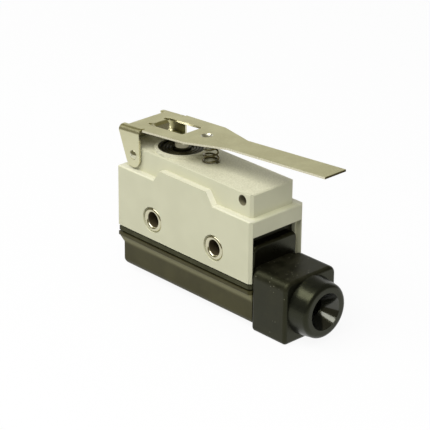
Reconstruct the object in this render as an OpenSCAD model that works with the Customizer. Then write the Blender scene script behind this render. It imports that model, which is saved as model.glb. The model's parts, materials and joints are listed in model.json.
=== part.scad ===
// Enclosed micro switch with a long hinge lever, in millimetres.
// The origin lies midway between the two mounting holes, on the middle plane of the case.
// +X points to the cable end, -Y to the front face and +Z to the lever.

/* [Case] */
// Length of the case
case_l = 55; // [53:0.5:58]
// Width of the case, from front face to rear face
case_w = 20.7; // [20.2:0.1:23]
// Wall of the case
case_wall = 1.75; // [1.4:0.05:2]
// Height of the low ledge above the bottom of the case
ledge_rise = 18.7; // [18.3:0.1:20]
// Depth of the ledge on the front and on the rear
ledge_depth = 2.1; // [1.6:0.1:2.4]
// Height of the upper block above the low ledge
block_h = 6.9; // [6.5:0.1:8]
// Inset of the upper block at each end
end_inset = 1.9; // [0.8:0.1:2.4]
// Height of the raised middle ledge above the low ledge
shoulder_rise = 3.5; // [2:0.1:5]
// Flat length of the raised middle ledge
shoulder_l = 19; // [12:0.5:24]
// Length of each slope from the low ledge to the raised ledge
shoulder_flank = 2.5; // [1:0.1:4]
// Thickness of the roof of the upper block
roof_t = 2.4; // [2:0.1:2.8]
// Chamfer on the upright corners at the cable end
corner_chamfer = 0.8; // [0.3:0.1:1.4]
// Chamfer on the upright corners at the hinge end
hinge_chamfer = 0.2; // [0.1:0.05:0.8]
// Chamfer on the top edges
edge_chamfer = 0.35; // [0.1:0.05:0.6]
// Height of the window in the cable end, above the bottom of the case
window_rise = 13.8; // [10:0.1:14.5]
// Wall beside the window in the cable end
window_wall = 1; // [0.9:0.05:1.6]

/* [Mounting bushes] */
// Distance between the two mounting holes
hole_pitch = 25.4; // [24:0.1:27]
// Height of the mounting holes above the bottom of the case
hole_rise = 6.1; // [5.9:0.1:6.6]
// Bore of a mounting bush
bush_bore = 4.4; // [3.6:0.1:4.6]
// Wall of a mounting bush
bush_wall = 0.6; // [0.4:0.05:0.7]
// Diameter of the rolled lip of a bush
lip_d = 7.2; // [6.6:0.1:7.6]
// Thickness of the rolled lip
lip_t = 0.7; // [0.4:0.05:0.8]
// Diameter of the recess around a bush
recess_d = 7.8; // [7.8:0.1:9]
// Case material around a bush
boss_wall = 2; // [1.5:0.1:2.2]

/* [Plunger and boot] */
// Distance of the plunger from the middle of the case, towards the hinge
plunger_x = 11.4; // [11:0.1:13]
// Diameter of the plunger
plunger_d = 4; // [3.6:0.1:4.8]
// Radius of the domed plunger top
plunger_dome_r = 3.2; // [2.8:0.1:5]
// Wall of the sleeve that guides the plunger
guide_wall = 1.25; // [1:0.05:1.5]
// Length of the guide sleeve below the roof
guide_l = 3.3; // [2.8:0.1:3.6]
// Diameter of the rubber boot
boot_d = 13.8; // [12:0.1:14]
// Wall of the collar around the boot
collar_wall = 1; // [0.6:0.1:1.2]
// Height of the collar above the block
collar_h = 1; // [0.6:0.1:1.2]
// Depth of the boot's pocket below the top of the block
pocket_depth = 0.9; // [0.6:0.1:1]
// Number of raised rings on the boot
boot_rings = 3; // [2:1:4]
// Rise of the boot's lip around the plunger, above its rim
boot_lip_rise = 0.35; // [0.1:0.05:0.4]

/* [Hinge] */
// Distance between the hinge hole and the spare hinge hole
pivot_pitch = 44; // [43.4:0.1:44.8]
// Height of the hinge holes above the bottom of the case
pivot_rise = 23.1; // [22.9:0.1:23.4]
// Diameter of the hinge pin
pin_d = 2.8; // [2.4:0.1:3]
// Height of the domed pin end outside a lever ear
pin_head = 0.5; // [0.3:0.05:0.7]

/* [Lever] */
// Thickness of the lever's sheet
lever_t = 0.6; // [0.5:0.05:0.9]
// Upward tilt of the free lever, in degrees
lever_tilt = 4.8; // [4.2:0.1:5.5]
// Top of the lever plate above the hinge pin
plate_rise = 8.05; // [7.9:0.05:8.6]
// Reach of the lever from the hinge pin to its tip
lever_reach = 71.4; // [55:0.2:80]
// Width of the narrow strip of the lever
strip_w = 8; // [6:0.1:10]
// Distance from the pin to the end of the wide part
wide_reach = 20.8; // [19.5:0.1:24]
// Width at the end of the wide part
wide_w = 16; // [14:0.1:17]
// Inset of the plate's side in front of the ears
side_inset = 0.6; // [0.4:0.1:0.9]
// Distance from the pin to the start of the narrow strip
strip_start = 34.1; // [30:0.1:40]
// Overhang of the plate behind the upper block
plate_back = 1.4; // [1:0.1:1.8]
// Overhang of the ears behind the upper block
ear_back = 2; // [1.6:0.1:2.6]
// Reach of the ears in front of the pin
ear_front = 3; // [2.8:0.1:3.4]
// Radius of the rounded foot of an ear
ear_foot_r = 2.9; // [2.6:0.1:3.2]
// Depth of an ear below the pin
ear_drop = 3.8; // [3.4:0.1:4]
// Depth of the rear flange below the top of the plate
rear_drop = 6.8; // [5:0.1:7.2]
// Start of the lever window in front of the pin
opening_start = 1.6; // [1.2:0.1:2]
// End of the lever window in front of the pin
opening_end = 15.6; // [15:0.1:17]
// Width of the lever window
opening_w = 7.7; // [6.6:0.1:8]
// Width of the tongue that presses the plunger
tongue_w = 5; // [4.4:0.1:5.2]
// Drop of the tongue's pad below the top of the plate
tongue_drop = 2.78; // [2.3:0.02:2.9]
// Slope of the tongue, in degrees
tongue_slope = 55; // [45:1:65]
// Distance of the dimple from the pin
dimple_x = 21.65; // [19.5:0.05:24]
// Diameter of the dimple
dimple_d = 3.5; // [2.4:0.1:3.8]
// Depth of the dimple
dimple_depth = 0.85; // [0.2:0.05:1]

/* [Lever spring] */
// Distance of the spring from the middle of the case
spring_x = 0.6; // [0:0.1:2]
// Outer diameter at the foot of the spring
spring_d = 5.3; // [4.6:0.1:5.6]
// Outer diameter at the head of the spring
spring_head_d = 3.8; // [3.2:0.1:4.6]
// Diameter of the spring wire
spring_wire = 0.5; // [0.4:0.05:0.85]
// Number of turns
spring_turns = 4; // [3.5:0.5:5]
// Diameter of the stud inside the spring
stud_d = 1.8; // [1.4:0.1:2.6]
// Height of the stud inside the spring
stud_h = 0.5; // [0.3:0.1:1.2]

/* [Snap mechanism] */
// Height of the snap blade above the mounting holes
blade_z = 10.2; // [10:0.05:10.4]
// Thickness of the snap blade
blade_t = 0.3; // [0.2:0.05:0.4]
// Width of the snap blade
blade_w = 6; // [5:0.1:7]
// Diameter of the rolled edge that the blade turns on
roll_d = 0.8; // [0.6:0.05:0.9]
// Distance of the blade's pivot from the middle of the case
anchor_x = 20.5; // [20:0.1:21]
// Distance of the contacts from the middle of the case
contact_x = 8.5; // [7.5:0.1:9]
// Diameter of the moving contact
contact_d = 4; // [3.4:0.1:4.4]
// Height of a contact
contact_h = 0.75; // [0.6:0.05:0.8]
// Turn of the blade between its two contacts, in degrees
blade_turn = 3.5; // [3:0.1:3.6]
// Free gap between the plunger and the blade
free_gap = 1.05; // [0.9:0.01:1.1]

/* [Terminals] */
// Distance of an outer terminal from the middle of its bay, away from the mounting hole
terminal_x = 1.05; // [0.6:0.05:1.2]
// Width of a terminal strip
terminal_w = 6; // [5:0.1:7]
// Thickness of a terminal strip
terminal_t = 1; // [0.8:0.05:1.1]
// Length of a terminal tab
tab_l = 5.4; // [5.2:0.1:5.5]
// Diameter of a terminal screw
terminal_screw_d = 3.3; // [2.8:0.1:3.5]
// Diameter of a terminal screw's head
terminal_head_d = 5; // [4.4:0.1:5.2]
// Height of a terminal screw's head
terminal_head_h = 1.8; // [1.2:0.1:2.4]
// Length of a terminal screw inside the base
terminal_grip = 1.8; // [1.4:0.1:2]
// Height of the terminal base inside the case
land_h = 1.9; // [1.5:0.1:2.3]
// Side of a wire clamp
clamp_w = 5.2; // [5:0.1:5.3]
// Thickness of a wire clamp
clamp_t = 0.8; // [0.6:0.1:1]

/* [Gasket and terminal cover] */
// Thickness of the gasket
gasket_t = 2.2; // [1.8:0.1:2.6]
// Height of the narrow lips above and below the gasket's band
gasket_lip = 0.5; // [0.2:0.05:0.6]
// Inset of the gasket's lips from the side of the case
gasket_lip_inset = 0.9; // [0.6:0.05:1.1]
// Inset of the gasket's band from the side of the case
gasket_inset = 0.15; // [0.05:0.05:0.3]
// Height of the terminal cover
cover_h = 10.6; // [10:0.1:14]
// Height of the cover's flange
flange_h = 1.2; // [1:0.1:2.6]
// Radius under the cover's flange
flange_r = 0.3; // [0.1:0.1:0.9]
// Inset of the cover's body from the side of the case
cover_inset = 1; // [0.7:0.1:1.2]
// Inset of the cover's body from the hinge end of the case
cover_end_inset = 1.5; // [0.7:0.1:1.8]
// Wall of the terminal cover
cover_wall = 1.6; // [1.2:0.1:1.8]
// Radius of the cover's lower edges
cover_r = 2.2; // [1.5:0.1:3]
// Diameter of a cover screw
cover_screw_d = 2.9; // [2.5:0.1:3]
// Diameter of a cover screw's head
cover_head_d = 5.4; // [4.8:0.1:5.4]
// Height of a cover screw's head
cover_head_h = 1.8; // [1.4:0.1:2]
// Depth of a cover screw's head below the cover's underside
head_sink = 0.4; // [0.2:0.1:0.6]
// Diameter of the cover's screw posts
post_d = 7.4; // [7:0.1:7.6]

/* [Cable cap] */
// Length of the cap's block
block_l = 13.2; // [11:0.1:16]
// Width of the cap's block
cap_w = 19.6; // [18:0.1:20.2]
// Height of the cap's block
cap_h = 18.7; // [18:0.05:19.6]
// Drop of the cap below the underside of the terminal cover
cap_drop = 1.3; // [0.9:0.05:1.6]
// Radius of the cap's upper edges
cap_r = 2.6; // [1.5:0.1:3.2]
// Radius of the edges of the cap's two ends
cap_end_r = 1.1; // [0.6:0.1:1.4]
// Depth of the cap's plug inside the case
plug_depth = 3.6; // [3.2:0.1:3.8]
// Height of the plug's step in the window, above the cap's block
plug_step = 6; // [3:0.1:7]
// Radius of the plug's step
step_r = 2; // [0.8:0.1:2.2]
// Recess of the plug's face below the step
plug_recess = 0.6; // [0.3:0.1:0.9]
// Further recess of the plug's face above the step
plug_set_back = 2.3; // [0.6:0.1:2.4]
// Length of the nozzle
nozzle_l = 5.9; // [5:0.1:9]
// Height of the nozzle's axis above the underside of the cap
nozzle_rise = 9.55; // [9.3:0.05:9.8]
// Diameter of the nozzle's root
nozzle_root_d = 17.4; // [15:0.1:17.5]
// Diameter of the nozzle's end
nozzle_end_d = 16.1; // [14.5:0.1:16.5]
// Radius of the nozzle's end
nozzle_r = 1.4; // [0.8:0.1:1.8]
// Diameter of the mouth
mouth_d = 10.9; // [9:0.1:11.2]
// Length of the tapered mouth
mouth_l = 4.5; // [4:0.1:7]
// Diameter of the cable hole
cable_d = 5.5; // [5:0.1:7.4]
// Wall between the cap's hollow and the nozzle
cap_front_wall = 3.7; // [3:0.1:5]
// Wall of the cap around its hollow
cap_wall = 3.4; // [2.6:0.1:4]

/* [Clearances] */
// Clearance around fixed round fits
seat_clear = 0.03; // [0.02:0.01:0.06]
// Clearance around moving round fits
run_clear = 0.05; // [0.03:0.01:0.08]
// Clearance around screws
screw_clear = 0.1; // [0.05:0.01:0.15]
// Clearance around flat fits
fit_clear = 0.1; // [0.05:0.01:0.15]
// Gap between a lever ear and the block
ear_gap = 0.4; // [0.2:0.05:0.5]
// Gap between the tongue and the plunger, and between closed contacts
touch_gap = 0.08; // [0.06:0.01:0.1]
// Gap between the boot and the plunger
boot_gap = 0.15; // [0.1:0.01:0.2]
// Gap between the spring's head and the lever
spring_gap = 0.25; // [0.2:0.01:0.4]

/* [Hidden] */
$fn = 64;

// Overlap that lets a cut run past a face, or lets two forms of one piece merge
over = 1;

// Heights, from the bottom of the cover to the top of the collar
case_bot = -hole_rise;
ledge_z = case_bot + ledge_rise;
shoulder_z = ledge_z + shoulder_rise;
block_top = ledge_z + block_h;
collar_top = block_top + collar_h;
pocket_z = block_top - pocket_depth;
roof_z = block_top - roof_t;
window_z = case_bot + window_rise;
pivot_z = case_bot + pivot_rise;
gasket_bot = case_bot - gasket_t;
cover_bot = gasket_bot - cover_h;
cover_floor = cover_bot + cover_wall;

// Plan of the case
inner_l = case_l - 2 * case_wall;
inner_w = case_w - 2 * case_wall;
window_w = case_w - 2 * window_wall;
case_block_l = case_l - 2 * end_inset;
case_block_w = case_w - 2 * ledge_depth;
block_inner_l = case_block_l - 2 * case_wall;
block_inner_w = case_block_w - 2 * case_wall;
pivot_hole_d = pin_d + 2 * run_clear;
pivot_guard = pivot_hole_d / 2 + case_wall;
chamber_top = ledge_z - case_wall;

// Bushes
bush_od = bush_bore + 2 * bush_wall;
lip_shy = 0.05;
lip_lap = 0.07;
lip_w = (lip_d - bush_bore) / 2;
recess_depth = lip_t + lip_shy;
bush_l = case_w - 2 * lip_shy;
boss_d = bush_od + 2 * boss_wall;

// Plunger, guide and boot
collar_d = boot_d + 2 * seat_clear + 2 * collar_wall;
guide_bore = plunger_d + 2 * run_clear;
guide_od = guide_bore + 2 * guide_wall;
guide_flange_w = 1;
guide_flange_t = 0.8;
guide_bot = roof_z - guide_l;
plunger_flange_w = 1;
plunger_flange_t = 0.8;
plunger_flange_top = guide_bot - fit_clear;
nose_d = 3;
nose_r = 1.8;
nose_z = blade_z + blade_t / 2 + free_gap;
boot_base = 1.1;
boot_ring_r = 0.4;
boot_rim_w = 0.6;
boot_shy = 0.2;
boot_bore = plunger_d + 2 * boot_gap;

// Lever, measured along the plate from the hinge pin
hinge_x = -pivot_pitch / 2;
pin_to_end = (case_block_l - pivot_pitch) / 2;
plate_end = pin_to_end + plate_back;
ear_end = pin_to_end + ear_back;
plate_under = plate_rise - lever_t;
ear_in = case_block_w / 2 + ear_gap;
ear_out = ear_in + lever_t;
bend_r = 0.9;
fold_lap = 0.02;
bend_out = bend_r + lever_t;
bend_y = ear_out - bend_out;
bend_v = plate_rise - bend_out;
ear_foot_back = 0.3;
ear_foot = [-ear_foot_back, ear_foot_r - ear_drop];
relief_w = 0.9;
side_w = 2 * ear_out - 2 * side_inset;
rear_w = 2 * bend_y - 2 * relief_w;
notch_l = 1;
notch_w = 0.9;
opening_r = 0.5;
pad_under = plate_rise - tongue_drop - lever_t;
tongue_run = (bend_v + (bend_out + bend_r) * cos(tongue_slope) - bend_r - pad_under - lever_t)
    / sin(tongue_slope);
pad_start = opening_start + (bend_out + bend_r) * sin(tongue_slope) + tongue_run * cos(tongue_slope);
pad_end = (-plunger_x - hinge_x) / cos(lever_tilt) + plunger_d / 2;
dimple_r = (pow(dimple_d / 2, 2) + pow(dimple_depth, 2)) / (2 * dimple_depth);
dimple_thinning = 0.4;
dimple_skin = dimple_thinning * lever_t;

// Height of a lever face above the case, at a place along X
function lever_z(face, x) = pivot_z + face / cos(lever_tilt) + (x - hinge_x) * tan(lever_tilt);
plunger_top = lever_z(pad_under, -plunger_x) - touch_gap;
dimple_fall = dimple_depth + dimple_skin - lever_t;
spring_top = lever_z(plate_under, spring_x) - max(spring_d / 2 * tan(lever_tilt), dimple_fall) - spring_gap;

// Snap mechanism
blade_top = blade_z + blade_t / 2;
blade_bot = blade_z - blade_t / 2;
moving_top = blade_top + contact_h;
closed_bot = moving_top + touch_gap;
closed_arm = closed_bot + contact_h;
blade_drop = (contact_x + anchor_x) * sin(blade_turn) + contact_d / 2 * sin(blade_turn);
open_top = blade_bot - contact_h - blade_drop - touch_gap;
open_arm = open_top - contact_h - terminal_t;
rivet_d = 2;
contact_dome = 6;
blade_tail = 1.5;
blade_tip = 2.6;
slot_start = 9;
slot_end = 4;
slot_w = 3.2;
bow_w = 2.4;
bow_sag = 1.4;
bow_l = slot_start + slot_end - 1;
bow_r = (pow(bow_l / 2, 2) + pow(bow_sag, 2)) / (2 * bow_sag);
seat_l = 1.1;

// Terminals, base and their screws
base_land = case_bot + land_h;
land_gap = 0.2;
base_end = case_l / 2 - plug_depth - 3 * fit_clear;
tab_bot = gasket_bot - terminal_t;
bay_start = (hole_pitch + boss_d) / 2;
outer_x = (bay_start + base_end) / 2 + terminal_x;
tab_starts = [-outer_x - terminal_t / 2, -terminal_t / 2, outer_x + terminal_t / 2 - tab_l];
strip_xs = [-outer_x, 0, outer_x];
screw_xs = [for (start = tab_starts) start + tab_l / 2];
terminal_screw_l = clamp_t + terminal_t + terminal_grip;
screw_slot = 0.7;

// Cover and cap
cover_inner_w = case_w - 2 * cover_inset - 2 * cover_wall;
flare_h = 2;
head_depth = cover_head_h + head_sink;
thread_wall = 0.6;
thread_top = -bush_od / 2 - thread_wall;
cap_x = case_l / 2 + fit_clear;
cap_end = cap_x + block_l;
cap_bot = cover_bot - cap_drop;
cap_top = cap_bot + cap_h;
mouth_x = cap_end + nozzle_l;
nozzle_z = cap_bot + nozzle_rise;
plug_x = case_l / 2 - plug_depth;
plug_face = case_l / 2 - plug_recess;
step_ease = 0.5;
foot_ratio = 1.2;

// Runs a drawing in X and Z along Y, to both sides of the middle plane
module along_y(length)
    rotate([90, 0, 0]) linear_extrude(height = length, center = true) children();

// Runs a drawing in Y and Z along X, from a start
module along_x(start, length)
    translate([start, 0, 0]) rotate([90, 0, 90]) linear_extrude(height = length) children();

// Places a turned form on the axis of the plunger
module on_plunger() translate([-plunger_x, 0, 0]) rotate_extrude() children();

// Plan of the case and of what lies under it: a rectangle with chamfered corners
module case_plan(length, width) {
    x = length / 2;
    y = width / 2;
    cable_x = x - corner_chamfer;
    hinge_x = hinge_chamfer - x;
    polygon([[hinge_x, -y], [cable_x, -y], [x, corner_chamfer - y], [x, y - corner_chamfer],
        [cable_x, y], [hinge_x, y], [-x, y - hinge_chamfer], [-x, hinge_chamfer - y]]);
}

// Rectangle between two corners, with rounded corners
module rounded_rect(low, high, r) {
    size = high - low;
    translate([low.x + r, low.y]) square([size.x - 2 * r, size.y]);
    translate([low.x, low.y + r]) square([size.x, size.y - 2 * r]);
    for (x = [low.x + r, high.x - r], y = [low.y + r, high.y - r]) translate([x, y]) circle(r);
}

// Block along X: upper long edges of one radius, lower ones smaller, and ends eased all round
module rounded_end(start, end, width, low, high, r, end_r) {
    length = end - start;
    foot_r = foot_ratio * end_r;
    for (post = [[foot_r, low + foot_r], [r, high - r]], side = [-1, 1])
        translate([start, side * (width / 2 - post[0]), post[1]]) rotate([0, 90, 0]) rotate_extrude()
            intersection() {
                rounded_rect([-post[0], 0], [post[0], length], end_r);
                square([post[0], length]);
            }
    along_y(width - 2 * r) rounded_rect([start, low], [end, high], end_r);
    along_y(width - 2 * foot_r) rounded_rect([start, low], [end, (low + high) / 2], end_r);
    translate([0, 0, low + foot_r]) linear_extrude(high - r - low - foot_r)
        rounded_rect([start, -width / 2], [end, width / 2], end_r);
}

// Upright section with eased top edges
module eased_section(width, low, high) {
    x = width / 2;
    polygon([[-x, low], [x, low], [x, high - edge_chamfer], [x - edge_chamfer, high],
        [edge_chamfer - x, high], [-x, high - edge_chamfer]]);
}

// Block with chamfered upright corners and eased top edges
module eased_block(length, width, low, high)
    intersection() {
        translate([0, 0, low]) linear_extrude(high - low) case_plan(length, width);
        along_y(width + 2 * over) eased_section(length, low, high);
        along_x(-length / 2 - over, length + 2 * over) eased_section(width, low, high);
    }

// Ring sector between two radii and two angles
module ring_sector(inner, outer, from, to) {
    far = 2 * outer;
    intersection() {
        difference() {
            circle(outer);
            circle(inner);
        }
        polygon([[0, 0], [far * cos(from), far * sin(from)],
            [far * cos((from + to) / 2), far * sin((from + to) / 2)], [far * cos(to), far * sin(to)]]);
    }
}

// Case: outside form, before it is hollowed
module case_outside() {
    foot = shoulder_l / 2 + shoulder_flank;
    eased_block(case_l, case_w, case_bot, ledge_z);
    eased_block(case_block_l, case_block_w, case_bot, block_top);
    along_y(case_w)
        polygon([[-foot, 0], [foot, 0], [foot, ledge_z], [shoulder_l / 2, shoulder_z],
            [-shoulder_l / 2, shoulder_z], [-foot, ledge_z]]);
    translate([-plunger_x, 0, pocket_z]) cylinder(d = collar_d, h = collar_top - pocket_z);
    translate([spring_x, 0, roof_z]) cylinder(d = stud_d, h = block_top + stud_h - roof_z);
}

// Case: chambers, open at the bottom
module case_chambers() {
    roof_l = pivot_pitch - 2 * pivot_guard;
    translate([-inner_l / 2, -inner_w / 2, case_bot - over])
        cube([inner_l, inner_w, chamber_top - case_bot + over]);
    translate([-block_inner_l / 2, -block_inner_w / 2, 0])
        cube([block_inner_l, block_inner_w, pivot_z - pivot_guard]);
    translate([-roof_l / 2, -block_inner_w / 2, 0]) cube([roof_l, block_inner_w, roof_z]);
}

// Case: pillars that carry the bushes and take the cover screws
module case_pillars()
    for (side = [-1, 1]) translate([side * hole_pitch / 2, 0, 0]) {
        along_y(inner_w + case_wall) circle(d = boss_d);
        along_y(inner_w + case_wall) translate([-boss_d / 2, case_bot]) square([boss_d, hole_rise]);
    }

// Case: every hole
module case_holes() {
    for (side = [-1, 1]) {
        translate([side * hole_pitch / 2, 0, 0]) {
            along_y(case_w + 2 * over) circle(d = bush_od + 2 * seat_clear);
            for (face = [-1, 1])
                translate([0, face * (case_w / 2 - recess_depth / 2 + over / 2), 0])
                    along_y(recess_depth + over) circle(d = recess_d);
            translate([0, 0, case_bot - over])
                cylinder(d = cover_screw_d + 2 * screw_clear, h = thread_top - case_bot + over);
        }
        translate([side * pivot_pitch / 2, 0, pivot_z])
            along_y(case_w + 2 * over) circle(d = pivot_hole_d);
    }
    translate([-plunger_x, 0, pocket_z])
        cylinder(d = boot_d + 2 * seat_clear, h = collar_top - pocket_z + over);
    translate([-plunger_x, 0, roof_z - over])
        cylinder(d = guide_od + 2 * seat_clear, h = roof_t + 2 * over);
    translate([case_l / 2 - case_wall, -window_w / 2, case_bot - over])
        cube([case_wall + over, window_w, window_z - case_bot + over]);
}

module case() color("#d8d5c2")
    difference() {
        union() {
            difference() {
                case_outside();
                case_chambers();
            }
            case_pillars();
        }
        case_holes();
    }

// Mounting bush: a tube with a round rolled lip at each end
module mounting_bush(side) color("#cfd0cc")
    translate([side * hole_pitch / 2, 0, 0]) rotate([90, 0, 0]) rotate_extrude() {
        tube_l = bush_l - 2 * lip_t + 2 * lip_lap;
        translate([bush_bore / 2, -tube_l / 2]) square([bush_wall, tube_l]);
        for (end = [-1, 1])
            intersection() {
                translate([(bush_bore + lip_w) / 2, end * (bush_l - lip_w) / 2]) circle(d = lip_w);
                translate([bush_bore / 2, end * (bush_l - lip_t) / 2 - lip_t / 2]) square([lip_w, lip_t]);
            }
    }

module plunger() color("#e6dfc4")
    on_plunger() {
        intersection() {
            translate([0, plunger_flange_top - plunger_flange_t])
                square([plunger_d / 2, plunger_top - plunger_flange_top + plunger_flange_t]);
            union() {
                translate([0, plunger_top - plunger_dome_r]) circle(plunger_dome_r);
                square([plunger_d / 2, plunger_top - plunger_dome_r]);
            }
        }
        translate([0, plunger_flange_top - plunger_flange_t])
            square([plunger_d / 2 + plunger_flange_w, plunger_flange_t]);
        intersection() {
            translate([0, nose_z]) square([nose_d / 2, plunger_flange_top - nose_z]);
            union() {
                translate([0, nose_z + nose_r]) circle(nose_r);
                translate([0, nose_z + nose_r]) square([nose_d / 2, plunger_flange_top - nose_z]);
            }
        }
    }

module plunger_guide() color("#b98f4a")
    on_plunger() {
        translate([guide_bore / 2, guide_bot]) square([guide_wall, pocket_z - guide_bot]);
        translate([guide_bore / 2, roof_z - guide_flange_t])
            square([guide_wall + guide_flange_w, guide_flange_t]);
    }

// Rubber boot: a disc with raised rings, a rim in the collar and a lip around the plunger
module plunger_boot() color("#22221f")
    on_plunger() {
        inner = boot_bore / 2;
        outer = boot_d / 2;
        top = collar_top - boot_shy;
        ring_step = (outer - inner - 2 * boot_rim_w) / (boot_rings + 1);
        translate([inner, pocket_z]) square([outer - inner, boot_base]);
        translate([outer - boot_rim_w, pocket_z]) square([boot_rim_w, top - pocket_z]);
        translate([inner, pocket_z]) square([boot_rim_w, top + boot_lip_rise - pocket_z]);
        for (ring = [1:boot_rings])
            translate([inner + boot_rim_w + ring * ring_step, pocket_z + boot_base]) circle(boot_ring_r);
    }

// Lever: flat outline of the plate, with its window, notches and reliefs
module plate_outline()
    difference() {
        union() {
            for (side = [-1, 1])
                polygon([[bend_out - plate_end, 0], [bend_out - plate_end, side * bend_y],
                    [ear_front, side * bend_y], [ear_front, side * side_w / 2],
                    [wide_reach, side * wide_w / 2], [strip_start, side * strip_w / 2],
                    [lever_reach, side * strip_w / 2], [lever_reach, 0]]);
            for (side = [-1, 1])
                translate([-ear_end, side * (bend_y - relief_w / 2) - relief_w / 2])
                    square([ear_end, relief_w]);
        }
        rounded_rect([opening_start, -opening_w / 2], [opening_end, opening_w / 2], opening_r);
        for (side = [-1, 1]) {
            translate([opening_start - notch_l, side * (tongue_w + notch_w) / 2 - notch_w / 2])
                square([notch_l + opening_r, notch_w]);
            translate([ear_front + relief_w / 2, side * bend_y]) circle(d = relief_w);
            translate([ear_front, side * (bend_y + over) - over]) square([relief_w, 2 * over]);
        }
    }

// Point where a line from a corner touches the rounded foot of an ear
function foot_touch(corner, side) =
    let (away = corner - ear_foot, turn = atan2(away.y, away.x), open = acos(ear_foot_r / norm(away)))
    ear_foot + ear_foot_r * [cos(turn + side * open), sin(turn + side * open)];

// Lever: side view of one ear
module ear_outline() {
    back = [-ear_end, bend_v];
    front = [ear_front, bend_v];
    difference() {
        union() {
            polygon([back, front, foot_touch(front, -1), ear_foot, foot_touch(back, 1)]);
            translate(ear_foot) circle(ear_foot_r);
        }
        circle(d = pin_d + 2 * seat_clear);
    }
}

// Lever: side view of the tongue, from the plate down to the pad
module tongue_outline() {
    slope = tongue_slope;
    translate([opening_start - notch_l, plate_under]) square([notch_l, lever_t]);
    translate([opening_start, bend_v]) {
        ring_sector(bend_r, bend_out, 90 - slope, 90);
        rotate(-slope) translate([-fold_lap, bend_r]) square([tongue_run + 2 * fold_lap, lever_t]);
    }
    translate([pad_start, pad_under + bend_out]) ring_sector(bend_r, bend_out, 270 - slope, 270);
    translate([pad_start, pad_under]) square([pad_end - pad_start, lever_t]);
}

// Lever: side view of the flange behind the block
module rear_outline() {
    translate([bend_out - plate_end, bend_v]) ring_sector(bend_r, bend_out, 90, 180);
    translate([-plate_end, plate_rise - rear_drop]) square([lever_t, bend_v - plate_rise + rear_drop]);
}

module hinge_lever() color("#b9b79f")
    translate([hinge_x, 0, pivot_z]) rotate([0, -lever_tilt, 0]) {
        difference() {
            union() {
                translate([0, 0, plate_under]) linear_extrude(lever_t) plate_outline();
                intersection() {
                    translate([dimple_x, 0, plate_rise + dimple_r - dimple_depth])
                        sphere(dimple_r + dimple_skin);
                    translate([dimple_x, 0, plate_under - over])
                        cylinder(d = dimple_d, h = over + lever_t / 2);
                }
            }
            translate([dimple_x, 0, plate_rise + dimple_r - dimple_depth]) sphere(dimple_r);
        }
        for (side = [-1, 1]) {
            translate([0, side * (ear_in + lever_t / 2), 0]) along_y(lever_t) ear_outline();
            translate([0, side * bend_y, bend_v]) along_x(-ear_end, ear_end + ear_front)
                ring_sector(bend_r, bend_out, 90 - 45 - side * 45, 90 + 45 - side * 45);
        }
        along_y(tongue_w) tongue_outline();
        along_y(rear_w) rear_outline();
    }

// Hinge pin: a shaft with a domed end outside each ear
module hinge_pin() color("#c9c8bd")
    translate([hinge_x, 0, pivot_z]) rotate([90, 0, 0]) rotate_extrude() {
        dome_r = (pow(pin_d / 2, 2) + pow(pin_head, 2)) / (2 * pin_head);
        translate([0, -ear_out]) square([pin_d / 2, 2 * ear_out]);
        for (end = [-1, 1])
            intersection() {
                translate([0, end * (ear_out + pin_head - dome_r)]) circle(dome_r);
                translate([0, end * ear_out - (end < 0 ? pin_head : 0)]) square([pin_d / 2, pin_head]);
            }
    }

// Lever spring: a round wire along a tapered coil with flat end turns
spring_steps = 24;
wire_sides = 8;
flat_turns = 0.8;

function coil_rise(turn) = min(max((turn - flat_turns) / (spring_turns - 2 * flat_turns), 0), 1);
function coil_radius(turn) =
    spring_d / 2 - spring_wire / 2 - (spring_d - spring_head_d) / 2 * turn / spring_turns;
function coil_point(turn, side) =
    let (r = coil_radius(turn) + spring_wire / 2 * cos(side),
        z = block_top + spring_wire / 2 + coil_rise(turn) * (spring_top - block_top - spring_wire))
    [spring_x + r * cos(360 * turn), r * sin(360 * turn), z + spring_wire / 2 * sin(side)];

module lever_spring() color("#8f8c7d") {
    rings = spring_turns * spring_steps;
    points = [for (i = [0:rings], k = [0:wire_sides - 1])
        coil_point(i / spring_steps, 360 * k / wire_sides)];
    walls = [for (i = [0:rings - 1], k = [0:wire_sides - 1])
        let (next = (k + 1) % wire_sides, here = i * wire_sides, there = here + wire_sides)
        [here + k, there + k, there + next, here + next]];
    first_end = [[for (k = [0:wire_sides - 1]) k]];
    last_end = [[for (k = [wire_sides - 1:-1:0]) rings * wire_sides + k]];
    polyhedron(points, concat(walls, first_end, last_end));
}

// Snap blade: a flat spring with a slot, and a bowed tongue in the slot
module snap_blade() color("#c49a55") {
    back = -anchor_x - blade_tail;
    difference() {
        translate([back, -blade_w / 2, blade_bot])
            cube([contact_x + blade_tip - back, blade_w, blade_t]);
        translate([-slot_start, -slot_w / 2, blade_bot - over])
            cube([slot_start + slot_end, slot_w, blade_t + 2 * over]);
        translate([contact_x, 0, blade_bot - over])
            cylinder(d = rivet_d + 2 * seat_clear, h = blade_t + 2 * over);
    }
    translate([-anchor_x, 0, blade_z]) along_y(blade_w) circle(d = roll_d);
    half_angle = asin(bow_l / 2 / bow_r);
    translate([slot_end - bow_l / 2, 0, blade_z + bow_r - bow_sag])
        along_y(bow_w)
            ring_sector(bow_r - blade_t / 2, bow_r + blade_t / 2, 270 - half_angle, 270 + half_angle);
}

// Turned face of a contact, domed on the side that meets the other contact
module contact_face(diameter)
    intersection() {
        square([diameter / 2, contact_h]);
        translate([0, contact_h - contact_dome]) circle(contact_dome);
    }

module moving_contact() color("#d9d9d4")
    translate([contact_x, 0, blade_z]) rotate_extrude() {
        translate([0, -blade_t / 2]) square([rivet_d / 2, blade_t]);
        translate([0, blade_t / 2]) contact_face(contact_d);
        mirror([0, 1]) translate([0, blade_t / 2]) contact_face(contact_d);
    }

module closed_contact() color("#d9d9d4")
    translate([contact_x, 0, closed_arm]) rotate_extrude() mirror([0, 1]) contact_face(contact_d);

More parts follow.
